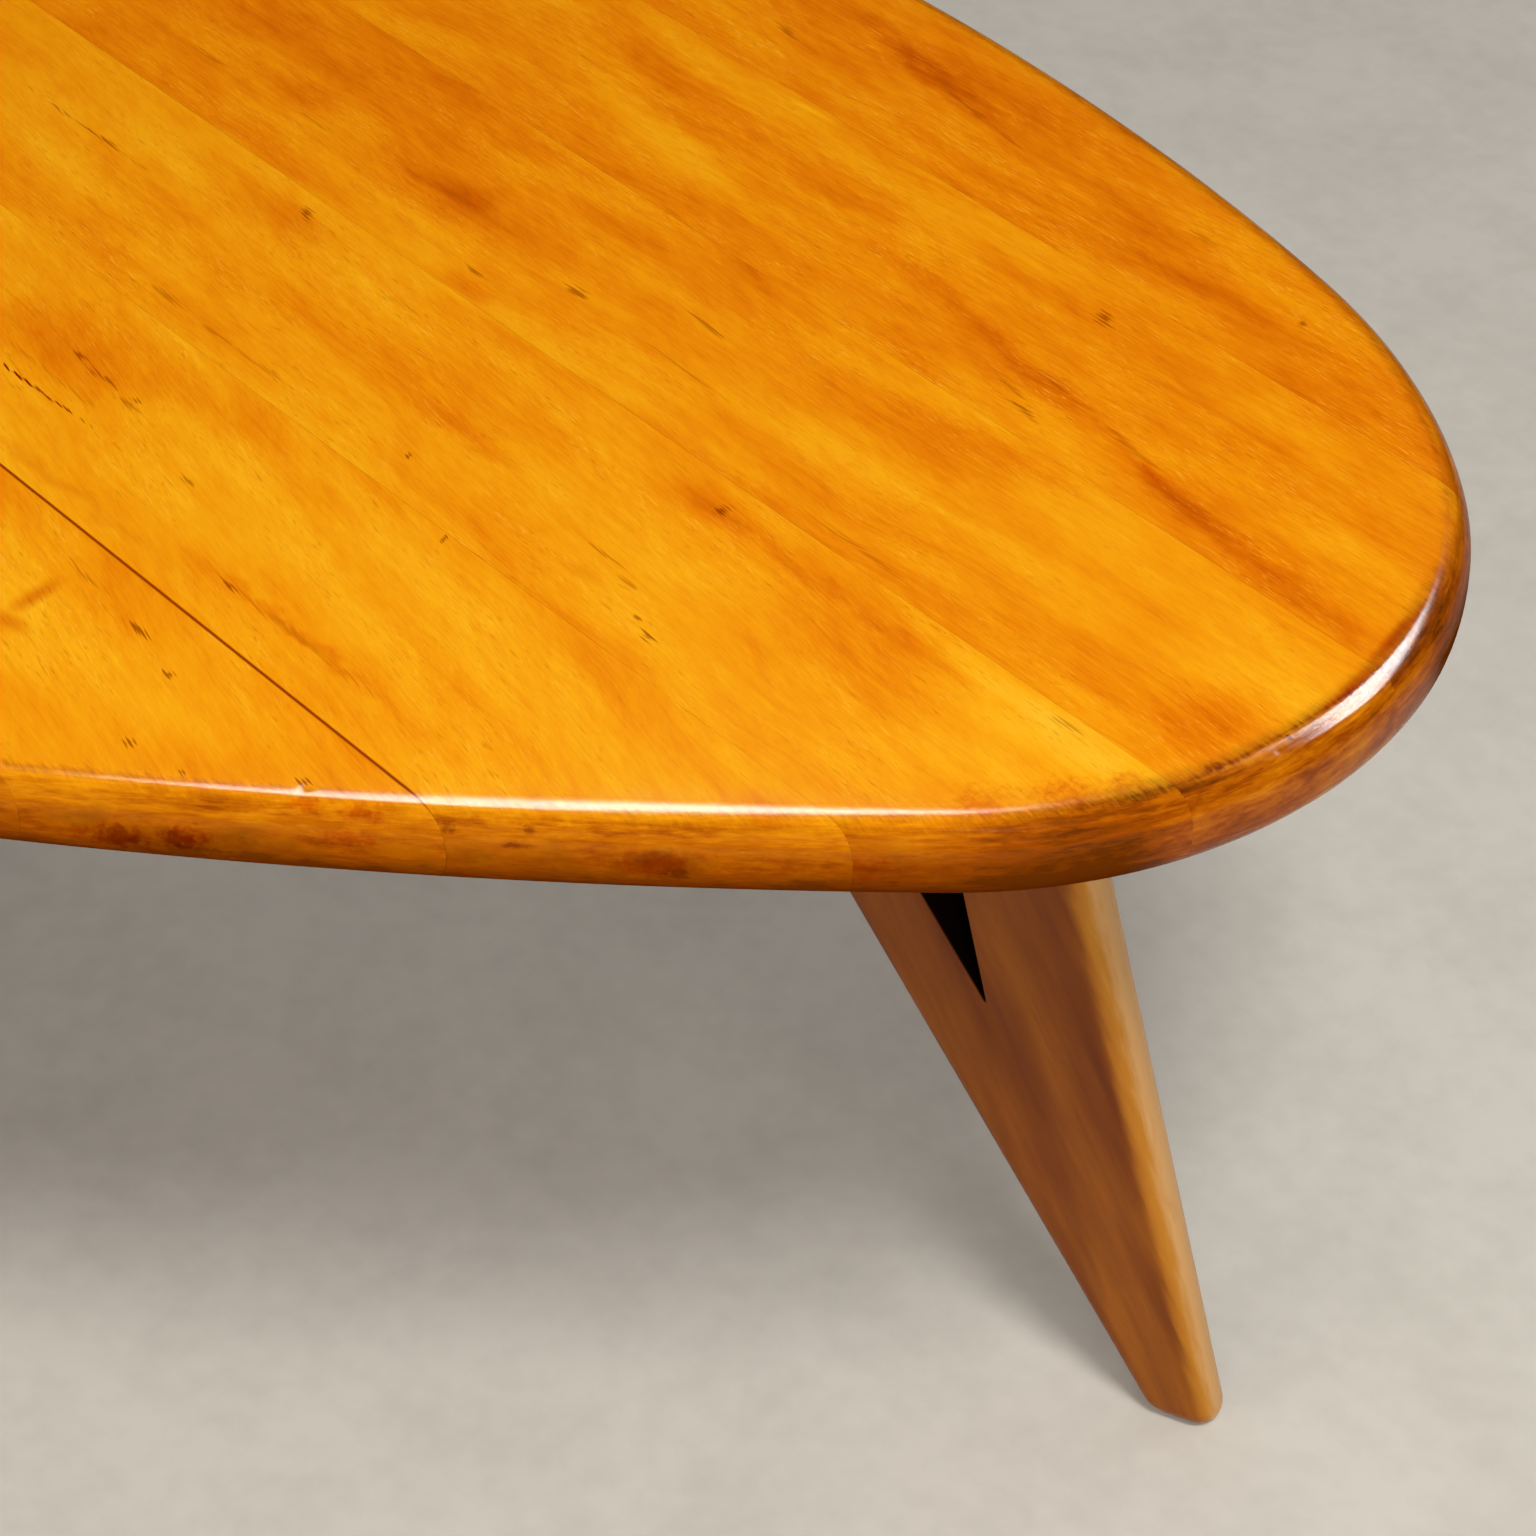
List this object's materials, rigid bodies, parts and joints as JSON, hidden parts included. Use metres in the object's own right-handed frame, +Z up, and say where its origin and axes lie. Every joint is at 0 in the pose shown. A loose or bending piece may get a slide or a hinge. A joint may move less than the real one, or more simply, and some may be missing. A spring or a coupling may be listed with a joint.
{
  "type": "coffee table",
  "caption": "Low table with a thick rounded-triangle top of glued lacquered boards, carried on splayed forked legs that taper to small rounded feet.",
  "frame": {"origin": "on the floor, under the middle of the table's bounding box", "axes": "+Z up; +X along the boards and the long back side; -Y towards the corner between the two slanted sides"},
  "size_m": [1, 0.672, 0.43],
  "materials": {
    "top_wood": "glossy amber lacquer over honey-stained pine boards, darker and bruised round the rim",
    "leg_wood": "reddish-brown stained beech under satin lacquer",
    "dowel_wood": "raw beech dowel, glued in and out of sight"
  },
  "bodies": {
    "root": {"plank_1": "top_wood", "plank_2": "top_wood", "plank_3": "top_wood", "plank_4": "top_wood", "plank_5": "top_wood", "plank_6": "top_wood", "plank_7": "top_wood", "leg_right_outer_blade": "leg_wood", "leg_right_inner_blade": "leg_wood", "leg_left_outer_blade": "leg_wood", "leg_left_inner_blade": "leg_wood", "leg_front_outer_blade": "leg_wood", "leg_front_inner_blade": "leg_wood", "seam_1_dowel_1": "dowel_wood", "seam_1_dowel_2": "dowel_wood", "seam_1_dowel_3": "dowel_wood", "seam_2_dowel_1": "dowel_wood", "seam_2_dowel_2": "dowel_wood", "seam_2_dowel_3": "dowel_wood", "seam_3_dowel_1": "dowel_wood", "seam_3_dowel_2": "dowel_wood", "seam_3_dowel_3": "dowel_wood", "seam_4_dowel_1": "dowel_wood", "seam_4_dowel_2": "dowel_wood", "seam_4_dowel_3": "dowel_wood", "seam_5_dowel_1": "dowel_wood", "seam_5_dowel_2": "dowel_wood", "seam_5_dowel_3": "dowel_wood", "seam_6_dowel_1": "dowel_wood", "seam_6_dowel_2": "dowel_wood", "seam_6_dowel_3": "dowel_wood", "leg_right_outer_dowel_1": "dowel_wood", "leg_right_outer_dowel_2": "dowel_wood", "leg_right_inner_dowel_1": "dowel_wood", "leg_right_inner_dowel_2": "dowel_wood", "leg_left_outer_dowel_1": "dowel_wood", "leg_left_outer_dowel_2": "dowel_wood", "leg_left_inner_dowel_1": "dowel_wood", "leg_left_inner_dowel_2": "dowel_wood", "leg_front_outer_dowel_1": "dowel_wood", "leg_front_outer_dowel_2": "dowel_wood", "leg_front_inner_dowel_1": "dowel_wood", "leg_front_inner_dowel_2": "dowel_wood", "leg_right_scarf_pin_1": "dowel_wood", "leg_right_scarf_pin_2": "dowel_wood", "leg_left_scarf_pin_1": "dowel_wood", "leg_left_scarf_pin_2": "dowel_wood", "leg_front_scarf_pin_1": "dowel_wood", "leg_front_scarf_pin_2": "dowel_wood"}
  },
  "joints": []
}
